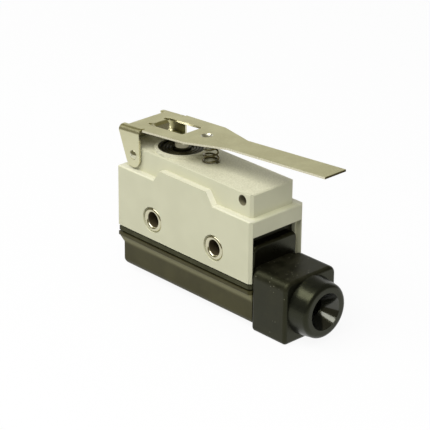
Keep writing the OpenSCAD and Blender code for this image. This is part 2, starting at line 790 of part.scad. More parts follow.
module open_contact() color("#d9d9d4")
    translate([contact_x, 0, open_top - contact_h]) rotate_extrude() contact_face(contact_d);

// Terminal: an upright strip with a screw tab below the base
module terminal_strip(index, top) {
    translate([strip_xs[index] - terminal_t / 2, -terminal_w / 2, tab_bot])
        cube([terminal_t, terminal_w, top - tab_bot]);
    difference() {
        translate([tab_starts[index], -terminal_w / 2, tab_bot]) cube([tab_l, terminal_w, terminal_t]);
        translate([screw_xs[index], 0, tab_bot - over])
            cylinder(d = terminal_screw_d + 2 * screw_clear, h = terminal_t + 2 * over);
    }
}

module common_terminal() color("#c8a24e") {
    top = blade_z - roll_d / 2 - fit_clear;
    terminal_strip(0, top);
    translate([-outer_x - terminal_t / 2, -terminal_w / 2, top - terminal_t])
        cube([terminal_t + seat_l, terminal_w, terminal_t]);
}

module closed_terminal() color("#c8a24e") {
    start = contact_x - contact_d / 2;
    terminal_strip(2, closed_arm + terminal_t);
    translate([start, -terminal_w / 2, closed_arm])
        cube([outer_x + terminal_t / 2 - start, terminal_w, terminal_t]);
}

module open_terminal() color("#c8a24e") {
    terminal_strip(1, open_arm + terminal_t);
    translate([-terminal_t / 2, -terminal_w / 2, open_arm])
        cube([contact_x + contact_d / 2 + terminal_t / 2, terminal_w, terminal_t]);
}

// Terminal base: a plate in the gasket, with a land in each bay between the pillars
module terminal_base() color("#4a3426") {
    start = -inner_l / 2 + land_gap;
    width = inner_w - 2 * land_gap;
    through = base_land - gasket_bot + 2 * over;
    bay = hole_pitch / 2 - boss_d / 2 - land_gap;
    beyond = hole_pitch / 2 + boss_d / 2 + land_gap;
    difference() {
        union() {
            translate([start, -width / 2, gasket_bot])
                cube([base_end - start, width, gasket_t - fit_clear]);
            for (land = [[start, -beyond], [-bay, bay], [beyond, base_end]])
                translate([land[0], -width / 2, gasket_bot])
                    cube([land[1] - land[0], width, base_land - gasket_bot]);
        }
        for (x = strip_xs)
            translate([x - terminal_t / 2 - fit_clear, -terminal_w / 2 - fit_clear, gasket_bot - over])
                cube([terminal_t + 2 * fit_clear, terminal_w + 2 * fit_clear, through]);
        for (x = screw_xs)
            translate([x, 0, gasket_bot - over])
                cylinder(d = terminal_screw_d + 2 * screw_clear, h = through);
        for (side = [-1, 1])
            translate([side * hole_pitch / 2, 0, gasket_bot - over])
                cylinder(d = cover_screw_d + 2 * screw_clear, h = gasket_t + 2 * over);
    }
}

// Screw that points up, from the underside of its head, with a slot across the head
module screw(shank_d, shank_l, head_d, head_h) {
    slot_depth = head_h / 2;
    cylinder(d = shank_d, h = shank_l);
    difference() {
        translate([0, 0, -head_h]) cylinder(d = head_d, h = head_h);
        translate([-head_d / 2 - over, -screw_slot / 2, -head_h - over])
            cube([head_d + 2 * over, screw_slot, slot_depth + over]);
    }
}

module terminal_screws() color("#b8b7ae")
    for (x = screw_xs)
        translate([x, 0, tab_bot - clamp_t])
            screw(terminal_screw_d, terminal_screw_l, terminal_head_d, terminal_head_h);

module wire_clamps() color("#a9a28a")
    for (x = screw_xs)
        translate([x, 0, tab_bot - clamp_t]) linear_extrude(clamp_t)
            difference() {
                square(clamp_w, center = true);
                circle(d = terminal_screw_d + 2 * screw_clear);
            }

// Gasket: a band between two narrow lips, open at the cable end
module cover_gasket() color("#4b4d46")
    difference() {
        union() {
            for (layer = [[gasket_bot, gasket_t, gasket_lip_inset],
                    [gasket_bot + gasket_lip, gasket_t - 2 * gasket_lip, gasket_inset]])
                translate([0, 0, layer[0]]) linear_extrude(layer[1])
                    case_plan(case_l - 2 * layer[2], case_w - 2 * layer[2]);
        }
        translate([-inner_l / 2, -inner_w / 2, gasket_bot - over])
            cube([inner_l + case_wall + over, inner_w, gasket_t + 2 * over]);
    }

// Side view of the cover over a width: flange, flare and body with rounded lower edges
module cover_section(width, inset) {
    x = width / 2;
    body = x - inset;
    flange_bot = gasket_bot - flange_h;
    translate([-x, flange_bot + flange_r]) square([width, flange_h - flange_r]);
    translate([flange_r - x, flange_bot]) square([width - 2 * flange_r, flange_h]);
    for (side = [-1, 1]) {
        translate([side * (x - flange_r), flange_bot + flange_r]) circle(flange_r);
        translate([side * (body - cover_r), cover_bot + cover_r]) circle(cover_r);
    }
    polygon([[-x + flange_r, flange_bot], [x - flange_r, flange_bot], [body, flange_bot - flare_h],
        [-body, flange_bot - flare_h]]);
    translate([-body, cover_bot + cover_r]) square([2 * body, gasket_bot - cover_bot - cover_r]);
    translate([cover_r - body, cover_bot]) square([2 * (body - cover_r), gasket_bot - cover_bot]);
}

module terminal_cover() color("#3b382b")
    difference() {
        union() {
            difference() {
                intersection() {
                    along_x(-case_l / 2 - over, case_l + over) cover_section(case_w, cover_inset);
                    // The cable end is cut square, so the drawing is longer there than the cover
                    translate([case_l / 2, 0, 0]) along_y(case_w + 2 * over)
                        cover_section(2 * case_l, cover_end_inset);
                    translate([0, 0, cover_bot - over]) linear_extrude(cover_h + 2 * over)
                        case_plan(case_l, case_w);
                }
                translate([-case_l / 2 + cover_end_inset + cover_wall, -cover_inner_w / 2, cover_floor])
                    cube([case_l, cover_inner_w, cover_h]);
            }
            for (side = [-1, 1])
                translate([side * hole_pitch / 2, 0, cover_bot + cover_wall / 2])
                    cylinder(d = post_d, h = cover_h - cover_wall / 2);
        }
        for (side = [-1, 1]) translate([side * hole_pitch / 2, 0, cover_bot - over]) {
            cylinder(d = cover_screw_d + 2 * screw_clear, h = cover_h + 2 * over);
            cylinder(d = cover_head_d + 2 * screw_clear, h = head_depth + over);
        }
    }

module cover_screws() color("#b8b7ae")
    for (side = [-1, 1])
        translate([side * hole_pitch / 2, 0, cover_bot + head_depth])
            screw(cover_screw_d, thread_top - cover_bot - head_depth - fit_clear, cover_head_d, cover_head_h);

// Cap: plug between the case and the cover, with a stepped face in the window
module cap_plug() {
    low_w = cover_inner_w - 2 * fit_clear;
    high_w = inner_w - 2 * fit_clear;
    low = cover_floor + fit_clear;
    high = gasket_bot + fit_clear;
    step_z = cap_top + plug_step;
    reach = cap_x + over - plug_x;
    translate([plug_x, -low_w / 2, low]) cube([reach, low_w, high + over - low]);
    along_x(plug_x, reach) rounded_rect([-high_w / 2, high], [high_w / 2, cap_top], cap_r);
    rounded_end(plug_x, plug_face, high_w, cap_top - plug_step, step_z, step_r, step_ease * step_r);
    translate([plug_x, -high_w / 2, step_z - step_r - over])
        cube([plug_face - plug_set_back - plug_x, high_w, window_z - fit_clear - step_z + step_r + over]);
}

// Cap: outline of the nozzle from its root to its rounded end, around the X axis
module nozzle_outline() {
    root_x = cap_end - cap_r;
    end_r = nozzle_end_d / 2;
    polygon([[0, root_x], [nozzle_root_d / 2, root_x], [nozzle_root_d / 2, cap_end],
        [end_r, mouth_x - nozzle_r], [end_r - nozzle_r, mouth_x - nozzle_r], [end_r - nozzle_r, mouth_x],
        [0, mouth_x]]);
    translate([end_r - nozzle_r, mouth_x - nozzle_r]) circle(nozzle_r);
}

// Cap: outline of the cable hole, with its tapered mouth
module cable_outline() {
    flare = (mouth_d - cable_d) / 2 / mouth_l * over;
    polygon([[0, plug_x], [cable_d / 2, plug_x], [cable_d / 2, mouth_x - mouth_l], [mouth_d / 2, mouth_x],
        [mouth_d / 2 + flare, mouth_x + over], [0, mouth_x + over]]);
}

module cable_cap() color("#2a2a26")
    difference() {
        union() {
            rounded_end(cap_x, cap_end, cap_w, cap_bot, cap_top, cap_r, cap_end_r);
            cap_plug();
            translate([0, 0, nozzle_z]) rotate([0, 90, 0]) rotate_extrude() nozzle_outline();
        }
        translate([0, 0, nozzle_z]) rotate([0, 90, 0]) rotate_extrude() cable_outline();
        hollow_w = cap_w - 2 * cap_wall;
        hollow_bot = cover_bot + cap_wall;
        translate([plug_x - over, -hollow_w / 2, hollow_bot])
            cube([cap_end - cap_front_wall - plug_x + over, hollow_w, cap_top - cap_wall - hollow_bot]);
    }

case();
mounting_bush(-1);  // mounting_bush_left
mounting_bush(1);  // mounting_bush_right
plunger();
plunger_guide();
plunger_boot();
hinge_lever();
hinge_pin();
lever_spring();
snap_blade();
moving_contact();
closed_contact();
open_contact();
common_terminal();
closed_terminal();
open_terminal();
terminal_base();
terminal_screws();
wire_clamps();
cover_gasket();
terminal_cover();
cover_screws();
cable_cap();
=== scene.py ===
import json
import math

import bmesh
import bpy
from mathutils import Color, Matrix, Vector


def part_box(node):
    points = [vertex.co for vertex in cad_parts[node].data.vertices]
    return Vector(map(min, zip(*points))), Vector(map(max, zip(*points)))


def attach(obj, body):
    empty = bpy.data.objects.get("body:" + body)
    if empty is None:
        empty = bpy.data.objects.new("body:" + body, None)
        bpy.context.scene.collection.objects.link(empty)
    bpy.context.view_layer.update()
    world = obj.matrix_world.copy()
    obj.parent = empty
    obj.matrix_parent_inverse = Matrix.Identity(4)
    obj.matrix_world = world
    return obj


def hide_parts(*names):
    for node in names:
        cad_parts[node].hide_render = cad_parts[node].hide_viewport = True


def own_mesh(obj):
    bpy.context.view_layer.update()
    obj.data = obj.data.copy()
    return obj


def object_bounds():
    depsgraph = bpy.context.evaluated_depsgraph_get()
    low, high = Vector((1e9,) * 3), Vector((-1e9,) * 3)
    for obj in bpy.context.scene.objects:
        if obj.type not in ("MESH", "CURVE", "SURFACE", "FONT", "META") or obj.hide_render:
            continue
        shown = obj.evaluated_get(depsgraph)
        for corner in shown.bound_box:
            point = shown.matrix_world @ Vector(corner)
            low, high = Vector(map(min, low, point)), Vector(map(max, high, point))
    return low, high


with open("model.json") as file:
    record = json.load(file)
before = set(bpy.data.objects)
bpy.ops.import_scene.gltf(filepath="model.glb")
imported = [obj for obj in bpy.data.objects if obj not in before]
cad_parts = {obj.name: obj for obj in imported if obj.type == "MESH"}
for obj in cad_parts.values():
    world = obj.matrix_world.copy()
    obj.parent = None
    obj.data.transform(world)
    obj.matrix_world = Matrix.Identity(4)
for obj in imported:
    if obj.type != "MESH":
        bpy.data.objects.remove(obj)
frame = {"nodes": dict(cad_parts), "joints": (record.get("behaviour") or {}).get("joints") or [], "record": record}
cad_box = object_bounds()

# A millimetre in metres, and what the frame and its record hold, by name
MM = 0.001
NODES = frame["nodes"]
BODY_OF = {node: body for body, nodes in frame["record"]["behaviour"]["bodies"].items() for node in nodes}
SLOT_OF = {part["node"]: part["material_slot"] for part in frame["record"]["subparts"]}
MOUNTS = {mount["name"]: mount for mount in frame["record"]["mounts"]}
JOINTS = {joint["name"]: joint for joint in frame["joints"]}


def stand(piece):
    """Puts a new piece in the scene."""
    bpy.context.scene.collection.objects.link(piece)
    return piece


# The photograph's camera: angles in degrees, lengths in millimetres, focal length in pixels of the frame
IMAGE_WIDTH = 430
SENSOR = 36
VIEW_AZIMUTH = 46.498
VIEW_ELEVATION = 24.296
VIEW_ROLL = 0.543
VIEW_DISTANCE = 594.95
VIEW_FOCAL = 2097.33
VIEW_TARGET = (0, -0.35, 5.9)
VIEW_SLIDE = (1.934, -2.8)


def set_camera():
    """Places the camera where the photograph was taken from."""
    azimuth, elevation, roll = (math.radians(a) for a in (VIEW_AZIMUTH, VIEW_ELEVATION, VIEW_ROLL))
    back = Vector((math.sin(azimuth) * math.cos(elevation), -math.cos(azimuth) * math.cos(elevation),
                   math.sin(elevation)))
    level = Vector((math.cos(azimuth), math.sin(azimuth), 0))
    upright = back.cross(level)
    right = level * math.cos(roll) + upright * math.sin(roll)
    up = upright * math.cos(roll) - level * math.sin(roll)
    eye = Vector(VIEW_TARGET) + back * VIEW_DISTANCE + right * VIEW_SLIDE[0] + up * VIEW_SLIDE[1]
    camera = bpy.data.cameras.new("camera")
    camera.sensor_width = SENSOR
    camera.lens = SENSOR * VIEW_FOCAL / IMAGE_WIDTH
    holder = stand(bpy.data.objects.new("camera", camera))
    turn = Matrix((right, up, back)).transposed().to_4x4()
    holder.matrix_world = Matrix.Translation(eye * MM) @ turn
    bpy.context.scene.camera = holder


class Link:
    """An output of a node tree that can be used like a number in Python expressions."""

    def __init__(self, tree, socket=None):
        self.tree = tree
        self.socket = socket

    def node(self, kind, settings=None, inputs=None, output=0):
        """Adds a node: its settings come first, then the values or links of its sockets."""
        made = self.tree.nodes.new(kind)
        for name, value in (settings or {}).items():
            setattr(made, name, value)
        for key, value in (inputs or {}).items():
            if isinstance(value, Link):
                self.tree.links.new(value.socket, made.inputs[key])
            else:
                made.inputs[key].default_value = value
        return Link(self.tree, made.outputs[output] if made.outputs else None)

    def math(self, operation, *values):
        """Adds a Math node."""
        return self.node("ShaderNodeMath", {"operation": operation}, dict(enumerate(values)))

    def __add__(self, other):
        return self.math("ADD", self, other)

    def __radd__(self, other):
        return self.math("ADD", other, self)

    def __sub__(self, other):
        return self.math("SUBTRACT", self, other)

    def __rsub__(self, other):
        return self.math("SUBTRACT", other, self)

    def __mul__(self, other):
        return self.math("MULTIPLY", self, other)

    def __rmul__(self, other):
        return self.math("MULTIPLY", other, self)

    def __truediv__(self, other):
        return self.math("DIVIDE", self, other)

    def __rtruediv__(self, other):
        return self.math("DIVIDE", other, self)


# The full value of a screen colour, the soft edge of a mask in millimetres, and the sockets of a colour mix
FULL = 255
BLUR = 0.1
MIX_SHARE = 0
MIX_LOW = 6
MIX_HIGH = 7
MIX_RESULT = 2


def screen(red, green, blue):
    """A colour from its screen values, 0 to 255, as the linear colour that a shader takes."""
    shown = Color((red / FULL, green / FULL, blue / FULL))
    return (*shown.from_srgb_to_scene_linear(), 1)


def grain(start, scale, detail, stretch=(1, 1, 1), turn=(0, 0, 0)):
    """Noise in the piece's own coordinates, between 0 and 1; scale is in lumps per metre."""
    place = start.node("ShaderNodeTexCoord", output="Object")
    turned = start.node("ShaderNodeMapping", inputs={"Vector": place, "Scale": stretch, "Rotation": turn})
    return start.node("ShaderNodeTexNoise", inputs={"Vector": turned, "Scale": scale, "Detail": detail})


def coordinate(start, axis):
    """One of the piece's own coordinates, in millimetres."""
    place = start.node("ShaderNodeTexCoord", output="Object")
    return start.node("ShaderNodeSeparateXYZ", inputs={"Vector": place}, output=axis) / MM


def reach(start, across, up):
    """The distance from an axis, from its two parts."""
    return start.math("SQRT", across * across + up * up)


def ramp(start, value, low, high):
    """Spreads a narrow band of a value over 0 to 1."""
    return start.node("ShaderNodeMapRange", {"interpolation_type": "SMOOTHSTEP"},
                      {"Value": value, "From Min": low, "From Max": high})


def between(start, value, low, high):
    """One where a value lies between two limits, and zero outside them."""
    return ramp(start, value, low - BLUR, low) * (1 - ramp(start, value, high, high + BLUR))


def blend(low, high, share):
    """A value between two values."""
    return low + (high - low) * share


def mixed(start, low, high, share):
    """A colour between two colours."""
    return start.node("ShaderNodeMix", {"data_type": "RGBA"},
                      {MIX_SHARE: share, MIX_LOW: low, MIX_HIGH: high}, MIX_RESULT)


def bump(start, height, depth):
    """A normal from a height; depth is in millimetres."""
    return start.node("ShaderNodeBump", inputs={"Height": height, "Distance": depth * MM, "Strength": 1})


def blank(name):
    """A new material and the start of its node tree."""
    material = bpy.data.materials.new(name)
    material.use_nodes = True
    return material, Link(material.node_tree)


def finish(material, colour, roughness, metallic=0, normal=None, coat=0, constants=None):
    """Closes a material: what varies is linked, and constants go on the shader's own sockets."""
    tree = material.node_tree
    shader = tree.nodes["Principled BSDF"]
    for key, value in {"Base Color": colour, "Roughness": roughness, "Metallic": metallic,
                       "Normal": normal, "Coat Weight": coat}.items():
        if isinstance(value, Link):
            tree.links.new(value.socket, shader.inputs[key])
        elif value is not None:
            shader.inputs[key].default_value = value
    for key, value in (constants or {}).items():
        shader.inputs[key].default_value = value
    return material


# The lever at rest: its tilt, and its pin and tip in millimetres
LEVER_TILT = math.radians(4.8)
PIN = Vector(JOINTS["lever_hinge"]["pos_m"]) / MM
LEVER_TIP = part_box("hinge_lever")[1].x / MM

# The case's ledges in millimetres: out from the middle plane, their height, and the slope between them
LEDGE_SIDE = (8.4, 10.2)
LEDGE_LOW = 12.5
SLOPE_ALONG = (9.6, 12.0)
SLOPE_RISE = (12.7, 16.0)

# The case's upper edge and roof, and its hinge holes out from their axis, in millimetres
UPPER_SIDE = (7.9, 8.3)
UPPER_EDGE = (19.2, 20)
ROOF = (19.1, 19.4)
HINGE_HOLE = (1.5, 1.62)

# The case's moulding: its tones, painted light on its ledges and slope, painted shade on its upper edge and in its
# hinge holes, its grain with its depth in millimetres, and its gloss
CASE_TONES = (screen(199, 198, 169), screen(203, 202, 173))
ROOF_TONES = (screen(193, 191, 164), screen(209, 207, 182))
# Painted light: the ledge tops paler, and the slope between them brighter still, for the light that falls on them
LEDGE_PAINTED_LIGHT = screen(206, 204, 182)
SLOPE_PAINTED_HIGHLIGHT = screen(228, 226, 206)
# Painted shade: a darker upper front edge that dulls its highlight
UPPER_EDGE_PAINTED_SHADE = screen(186, 185, 157)
# Painted shade inside the hinge holes
HINGE_HOLE_PAINTED_SHADE = screen(122, 117, 92)
CASE_DRIFT = {"scale": 90, "detail": 2}
CASE_GRAIN = {"scale": 5200, "detail": 2}
ROOF_GRAIN = {"scale": 2600, "detail": 2}
DRIFT_BAND = (0.35, 0.65)
CASE_ROUGHNESS = (0.4, 0.5)
CASE_GRAIN_DEPTH = 0.01
CASE_SHINE = {"Specular IOR Level": 0.5}


def moulded_grey():
    """Light warm-grey moulding: fine grain, drifts of tone, a stippled roof, painted light on the ledges and
    slope, painted shade on the upper edge and in the hinge holes.
    """
    material, start = blank("moulded_grey")
    drift = ramp(start, grain(start, **CASE_DRIFT), *DRIFT_BAND)
    stipple = ramp(start, grain(start, **ROOF_GRAIN), *DRIFT_BAND)
    fine = grain(start, **CASE_GRAIN)
    along = start.math("ABSOLUTE", coordinate(start, "X"))
    aside = start.math("ABSOLUTE", coordinate(start, "Y"))
    height = coordinate(start, "Z")
    # Where the painted light goes: the ledge tops and the slope between them
    ledge = between(start, aside, *LEDGE_SIDE) * ramp(start, height, LEDGE_LOW - BLUR, LEDGE_LOW)
    slope = ledge * between(start, along, *SLOPE_ALONG) * between(start, height, *SLOPE_RISE)
    # Where the painted shade on the upper front edge goes
    edge = between(start, aside, *UPPER_SIDE) * between(start, height, *UPPER_EDGE)
    # Where the painted shade inside the hinge holes goes
    hole = 1 - ramp(start, reach(start, along + PIN.x, height - PIN.z), *HINGE_HOLE)
    colour = mixed(start, *CASE_TONES, drift)
    for tone, share in ((mixed(start, *ROOF_TONES, stipple), ramp(start, height, *ROOF)),
                        (LEDGE_PAINTED_LIGHT, ledge), (SLOPE_PAINTED_HIGHLIGHT, slope), (UPPER_EDGE_PAINTED_SHADE, edge),
                        (HINGE_HOLE_PAINTED_SHADE, hole)):
        colour = mixed(start, colour, tone, share)
    return finish(material, colour, blend(*CASE_ROUGHNESS, fine),
                  normal=bump(start, fine, CASE_GRAIN_DEPTH), constants=CASE_SHINE)


# Where the lever's ears begin, out from the middle plane, and its sheared end, in millimetres
EAR_SIDE = (8.5, 8.9)
SHEARED = 0.12

# The smoother tongue in the lever's window, in millimetres: its half width, and its height above the pin
TONGUE_SIDE = (2.8, 3.2)
TONGUE_TOP = (7.1, 7.5)

# The dimple, in millimetres: its place along the lever from the pin, and its edge
DIMPLE = 21.65
DIMPLE_EDGE = (1.6, 1.9)

# The lever's sheet: its tones, a painted reflection on its tongue and dimple, a painted sheen on its ears, its
# grinding lines with their depth in millimetres, and its stains
STEEL_TONES = (screen(187, 182, 132), screen(199, 195, 146))
# Painted reflection: a paler, cooler tint on the pressed tongue and dimple
PRESSED_PAINTED_REFLECTION = screen(210, 209, 196)
# Painted sheen: the ears paler, as if lit from the front
EAR_PAINTED_SHEEN = screen(222, 219, 184)
LINE_TONE = screen(222, 218, 172)
SHEARED_TONE = screen(74, 62, 40)
GRINDING = {"scale": 420, "detail": 4, "stretch": (1, 26, 26), "turn": (0, 0, math.radians(3))}
EAR_GRINDING = {"scale": 520, "detail": 3, "stretch": (1, 14, 14), "turn": (0, math.radians(40), 0)}
STAIN = {"scale": 150, "detail": 2}
STAIN_BAND = (0.35, 0.7)
LINE_BAND = (0.5, 0.8)
STEEL_ROUGHNESS = 0.24
TONGUE_ROUGHNESS = 0.08
LINE_ROUGHNESS = 0.18
LINE_DEPTH = 0.008


def ground_steel():
    """Stainless sheet: grinding lines along the lever, slanted ones on its ears, faint stains, a painted sheen on
    the ears and a painted reflection on the tongue and dimple.
    """
    material, start = blank("ground_steel")
    aside = start.math("ABSOLUTE", coordinate(start, "Y"))
    ahead = coordinate(start, "X") - PIN.x
    above = coordinate(start, "Z") - PIN.z
    rise = above * math.cos(LEVER_TILT) - ahead * math.sin(LEVER_TILT)
    past = ahead * math.cos(LEVER_TILT) + above * math.sin(LEVER_TILT) - DIMPLE
    dimple = 1 - ramp(start, reach(start, past, aside), *DIMPLE_EDGE)
    tongue = (1 - ramp(start, aside, *TONGUE_SIDE)) * (1 - ramp(start, rise, *TONGUE_TOP))
    on_ear = ramp(start, aside, *EAR_SIDE)
    lines = blend(grain(start, **GRINDING), grain(start, **EAR_GRINDING), on_ear)
    colour = mixed(start, *STEEL_TONES, ramp(start, grain(start, **STAIN), *STAIN_BAND))
    sheared = ramp(start, coordinate(start, "X"), LEVER_TIP - SHEARED, LEVER_TIP)
    # The tongue and dimple take a painted reflection, the ears a painted sheen
    for tone, share in ((PRESSED_PAINTED_REFLECTION, start.math("MAXIMUM", tongue, dimple)), (EAR_PAINTED_SHEEN, on_ear),
                        (LINE_TONE, ramp(start, lines, *LINE_BAND)), (SHEARED_TONE, sheared)):
        colour = mixed(start, colour, tone, share)
    roughness = blend(STEEL_ROUGHNESS, TONGUE_ROUGHNESS, tongue) + LINE_ROUGHNESS * lines
    return finish(material, colour, roughness, metallic=1, normal=bump(start, lines, LINE_DEPTH))


# The cut edges of the lever's sheet, their brightness partly a painted highlight
CUT_TONES_AND_HIGHLIGHT = (screen(214, 209, 182), screen(232, 228, 202))
CUT_LINES = {"scale": 1400, "detail": 2, "stretch": (4, 1, 1)}
CUT_ROUGHNESS = (0.2, 0.35)


def sheared_steel():
    """The cut edges of the lever's sheet: brighter than its faces, partly as a painted highlight, with short cross
    lines.
    """
    material, start = blank("sheared_steel")
    lines = grain(start, **CUT_LINES)
    return finish(material, mixed(start, *CUT_TONES_AND_HIGHLIGHT, lines), blend(*CUT_ROUGHNESS, lines), metallic=1)


# Haze on bright metal
HAZE = {"scale": 900, "detail": 3}
HAZE_ROUGHNESS = 0.12


def bright_metal(name, dark, light, polish):
    """Plated or polished metal with a slight haze."""
    material, start = blank(name)
    haze = grain(start, **HAZE)
    return finish(material, mixed(start, dark, light, haze), polish + HAZE_ROUGHNESS * haze, metallic=1)


# The bushes: where their bores end, outside the hole's own radius in millimetres, and their nickel
BORE_EDGE = (0.01, 0.1)
NICKEL_TONES = (screen(192, 187, 158), screen(216, 212, 185))
BORE_TONE = screen(66, 56, 34)
BORE_ROUGHNESS = 0.6
NICKEL_ROUGHNESS = 0.1
NICKEL_HAZE = 0.08


def bush_nickel():
    """Bright nickel of the bushes, tarnished brown inside their bores."""
    material, start = blank("bush_nickel")
    holes = MOUNTS["mounting_holes"]["dims"]
    haze = grain(start, **HAZE)
    across = start.math("ABSOLUTE", coordinate(start, "X")) - holes["spacing_x_mm"] / 2
    plated = ramp(start, reach(start, across, coordinate(start, "Z")) - holes["hole_r_mm"], *BORE_EDGE)
    colour = mixed(start, BORE_TONE, mixed(start, *NICKEL_TONES, haze), plated)
    roughness = blend(BORE_ROUGHNESS, NICKEL_ROUGHNESS, plated) + NICKEL_HAZE * haze
    return finish(material, colour, roughness, metallic=plated)


# The plunger's plastic, with the depth of its grain in millimetres
CREAM_TONES = (screen(226, 219, 190), screen(238, 232, 206))
CREAM_GRAIN = {"scale": 4000, "detail": 2}
CREAM_ROUGHNESS = (0.38, 0.48)
CREAM_DEPTH = 0.008


def cream_plastic():
    """Cream plastic of the plunger."""
    material, start = blank("cream_plastic")
    fine = grain(start, **CREAM_GRAIN)
    return finish(material, mixed(start, *CREAM_TONES, fine), blend(*CREAM_ROUGHNESS, fine),
                  normal=bump(start, fine, CREAM_DEPTH))


# Rubber: its cloudiness, its grain with its depth in millimetres, and the tints of its sheen
RUBBER_CLOUD = {"scale": 260, "detail": 4}
RUBBER_GRAIN = {"scale": 3800, "detail": 3}
CLOUD_BAND = (0.3, 0.7)
RUBBER_HAZE = 0.16
RUBBER_DEPTH = 0.012
WARM_SHEEN = (1, 0.95, 0.5, 1)
GREEN_SHEEN = (0.97, 1, 0.58, 1)


def matte_rubber(name, dark, light, dullness, gloss):
    """Soft rubber with slight cloudiness."""
    material, start = blank(name)
    cloud = ramp(start, grain(start, **RUBBER_CLOUD), *CLOUD_BAND)
    fine = grain(start, **RUBBER_GRAIN)
    return finish(material, mixed(start, dark, light, cloud), dullness + RUBBER_HAZE * fine,
                  normal=bump(start, fine, RUBBER_DEPTH),
                  constants={"Specular IOR Level": gloss, "Specular Tint": WARM_SHEEN})


# The cap, in millimetres: its plug and its nozzle along X, and its mouth out from the cable's axis
PLUG_END = (26.9, 27.4)
NOZZLE_START = (40.2, 41.4)
MOUTH_EDGE = (5.3, 5.5)

# Dust on the cap: cells per metre, their specks' size and share, and the height where it thickens
SPECKS = 1000
SPECK_SIZE = (0.08, 0.17)
SPECK_SHARE = (0.04, 0.5)
DUSTY = (-8, -3)

# The cap's rubber, with painted shade on its plug, a painted sheen tint on its nozzle, and the depth of its grain
# in millimetres
CAP_TONES = (screen(6, 6, 3), screen(27, 26, 18))
# Painted shade: the plug, set back in the case's window, is darker
PLUG_PAINTED_SHADE = screen(6, 5, 3)
# Painted sheen: a cooler tone on the nozzle that stands in for the neutral tint of its reflections
NOZZLE_PAINTED_SHEEN = screen(12, 14, 14)
SPECK_TONE = screen(118, 116, 100)
CAP_ROUGHNESS = (0.36, 0.44)
PLUG_POLISH = 0.14
NOZZLE_POLISH = 0.14
MOUTH_POLISH = 0.12
MOUTH_COAT = 0.7
CAP_HAZE = 0.1
CAP_DEPTH = 0.008
CAP_SHINE = {"Specular IOR Level": 0.38, "Specular Tint": GREEN_SHEEN, "Coat Roughness": 0.1,
             "Coat IOR": 1.7}


def dust(start):
    """One on the cap's specks of dust, and zero elsewhere."""
    place = start.node("ShaderNodeTexCoord", output="Object")
    cell = {"Vector": place, "Scale": SPECKS}
    spot = 1 - ramp(start, start.node("ShaderNodeTexVoronoi", inputs=cell, output="Distance"), *SPECK_SIZE)
    chance = start.node("ShaderNodeTexVoronoi", inputs=cell, output="Color")
    draw = start.node("ShaderNodeSeparateColor", inputs={0: chance})
    upper = ramp(start, coordinate(start, "Z"), *DUSTY)
    return spot * start.math("LESS_THAN", draw, blend(*SPECK_SHARE, upper))


def cap_rubber():
    """Black rubber of the cap: a dull dusty block, a plug darkened by painted shade, a smoother nozzle with a
    cooler painted sheen tint, and a shiny mouth.
    """
    material, start = blank("cap_rubber")
    cloud = ramp(start, grain(start, **RUBBER_CLOUD), *CLOUD_BAND)
    fine = grain(start, **RUBBER_GRAIN)
    along = coordinate(start, "X")
    height = coordinate(start, "Z") - MOUNTS["cable_entry"]["pos_m"][2] / MM
    plug = 1 - ramp(start, along, *PLUG_END)
    nozzle = ramp(start, along, *NOZZLE_START)
    mouth = nozzle * (1 - ramp(start, reach(start, coordinate(start, "Y"), height), *MOUTH_EDGE))
    colour = mixed(start, *CAP_TONES, cloud)
    # The plug takes painted shade and the nozzle a painted sheen tint; the specks are real dust
    for tone, share in ((PLUG_PAINTED_SHADE, plug), (NOZZLE_PAINTED_SHEEN, nozzle),
                        (SPECK_TONE, dust(start) * (1 - plug) * (1 - nozzle))):
        colour = mixed(start, colour, tone, share)
    polish = PLUG_POLISH * plug + NOZZLE_POLISH * nozzle + MOUTH_POLISH * mouth
    roughness = blend(*CAP_ROUGHNESS, cloud) - polish + CAP_HAZE * fine
    return finish(material, colour, roughness, normal=bump(start, fine, CAP_DEPTH),
                  coat=MOUTH_COAT * mouth, constants=CAP_SHINE)


# The band of painted sheen on the terminal cover's flare under its lip, down from the top of the cover in
# millimetres
FLARE_TOP = (1.05, 1.3)
FLARE_FOOT = (2.3, 3.8)

# The terminal cover's plastic and the painted sheen on its flare, with the depth of its grain in millimetres
COVER_TONES = (screen(47, 44, 23), screen(57, 54, 31))
# Painted sheen: a paler band on the flare under the lip
FLARE_PAINTED_SHEEN = screen(118, 115, 85)
COVER_DRIFT = {"scale": 140, "detail": 3}
COVER_GRAIN = {"scale": 4400, "detail": 2}
COVER_ROUGHNESS = (0.44, 0.56)
COVER_DEPTH = 0.01
COVER_SHINE = {"Specular IOR Level": 0.4, "Specular Tint": WARM_SHEEN}


def brown_black_plastic():
    """Moulded brown-black plastic of the terminal cover, with a painted sheen where it flares out to its lip."""
    material, start = blank("brown_black_plastic")
    drift = ramp(start, grain(start, **COVER_DRIFT), *CLOUD_BAND)
    fine = grain(start, **COVER_GRAIN)
    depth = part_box("terminal_cover")[1].z / MM - coordinate(start, "Z")
    flare = ramp(start, depth, *FLARE_TOP) * (1 - ramp(start, depth, *FLARE_FOOT))
    colour = mixed(start, mixed(start, *COVER_TONES, drift), FLARE_PAINTED_SHEEN, flare)
    return finish(material, colour, blend(*COVER_ROUGHNESS, fine),
                  normal=bump(start, fine, COVER_DEPTH), constants=COVER_SHINE)


# Stamped and turned metal
ROLLING = {"scale": 500, "detail": 3, "stretch": (1, 20, 20)}
STRIP_ROUGHNESS = (0.26, 0.4)


def rolled_strip(name, dark, light):
    """Stamped or turned metal, with fine lines along it."""
    material, start = blank(name)
    lines = grain(start, **ROLLING)
    return finish(material, mixed(start, dark, light, lines), blend(*STRIP_ROUGHNESS, lines), metallic=1)


